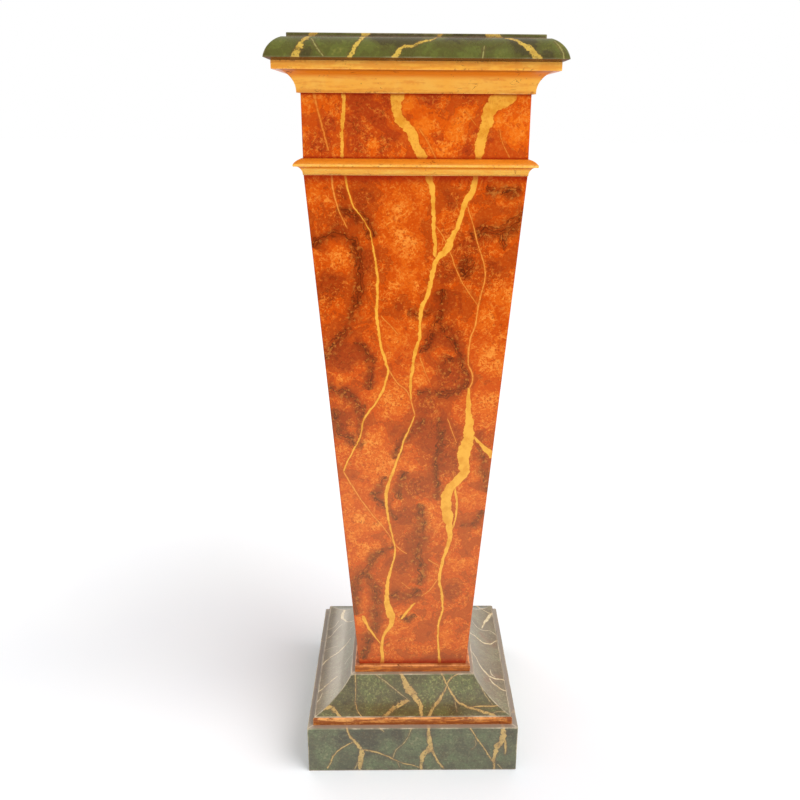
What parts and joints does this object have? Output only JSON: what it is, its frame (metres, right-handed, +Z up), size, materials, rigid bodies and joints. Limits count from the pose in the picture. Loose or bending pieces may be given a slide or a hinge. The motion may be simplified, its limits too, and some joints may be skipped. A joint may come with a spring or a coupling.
{
  "type": "pedestal column stand",
  "caption": "Square tapering wooden pedestal with a moulded slab top, cornice, neck moulding and moulded base, painted as marble, to show a plant, urn or bust at chest height.",
  "frame": {"origin": "middle of the underside of the plinth, on the floor", "axes": "+Z up along the column's axis, towards the slab; the front faces -Y; all four sides are alike"},
  "size_m": [0.3556, 0.3556, 1.07],
  "materials": {
    "green_marble_paint": "dark olive green marbling painted on wood, with cream and yellow veins, satin varnish",
    "red_marble_paint": "orange-red marbling painted on wood, with dark clouds and yellow veins, satin varnish",
    "ochre_paint": "ochre yellow paint on wood with fine dark marks, satin varnish",
    "bare_pine": "bare sawn pine",
    "screw_steel": "plain steel screws and pins"
  },
  "bodies": {
    "root": {"base_bead_back": "ochre_paint", "base_bead_front": "ochre_paint", "base_bead_left": "ochre_paint", "base_bead_right": "ochre_paint", "base_deck": "bare_pine", "bottom_board": "bare_pine", "bottom_screws": "screw_steel", "cavetto_back": "green_marble_paint", "cavetto_front": "green_marble_paint", "cavetto_left": "green_marble_paint", "cavetto_right": "green_marble_paint", "cavetto_screws": "screw_steel", "cornice_back": "ochre_paint", "cornice_front": "ochre_paint", "cornice_left": "ochre_paint", "cornice_pins": "screw_steel", "cornice_right": "ochre_paint", "deck_screws": "screw_steel", "foot_bead_back": "ochre_paint", "foot_bead_front": "ochre_paint", "foot_bead_left": "ochre_paint", "foot_bead_right": "ochre_paint", "frieze_block_back_left": "bare_pine", "frieze_block_back_right": "bare_pine", "frieze_block_front_left": "bare_pine", "frieze_block_front_right": "bare_pine", "frieze_board_back": "red_marble_paint", "frieze_board_front": "red_marble_paint", "frieze_board_left": "red_marble_paint", "frieze_board_right": "red_marble_paint", "neck_board": "bare_pine", "neck_moulding_back": "ochre_paint", "neck_moulding_front": "ochre_paint", "neck_moulding_left": "ochre_paint", "neck_moulding_right": "ochre_paint", "neck_pins": "screw_steel", "neck_screws": "screw_steel", "plinth_block_back_left": "bare_pine", "plinth_block_back_right": "bare_pine", "plinth_block_front_left": "bare_pine", "plinth_block_front_right": "bare_pine", "plinth_board_back": "green_marble_paint", "plinth_board_front": "green_marble_paint", "plinth_board_left": "green_marble_paint", "plinth_board_right": "green_marble_paint", "plinth_screws": "screw_steel", "shaft_board_back": "red_marble_paint", "shaft_board_front": "red_marble_paint", "shaft_board_left": "red_marble_paint", "shaft_board_right": "red_marble_paint", "shaft_post_back_left": "bare_pine", "shaft_post_back_right": "bare_pine", "shaft_post_front_left": "bare_pine", "shaft_post_front_right": "bare_pine", "slab_screws": "screw_steel", "top_cleat_back": "bare_pine", "top_cleat_front": "bare_pine", "top_cleat_left": "bare_pine", "top_cleat_right": "bare_pine", "top_slab": "green_marble_paint"}
  },
  "joints": []
}
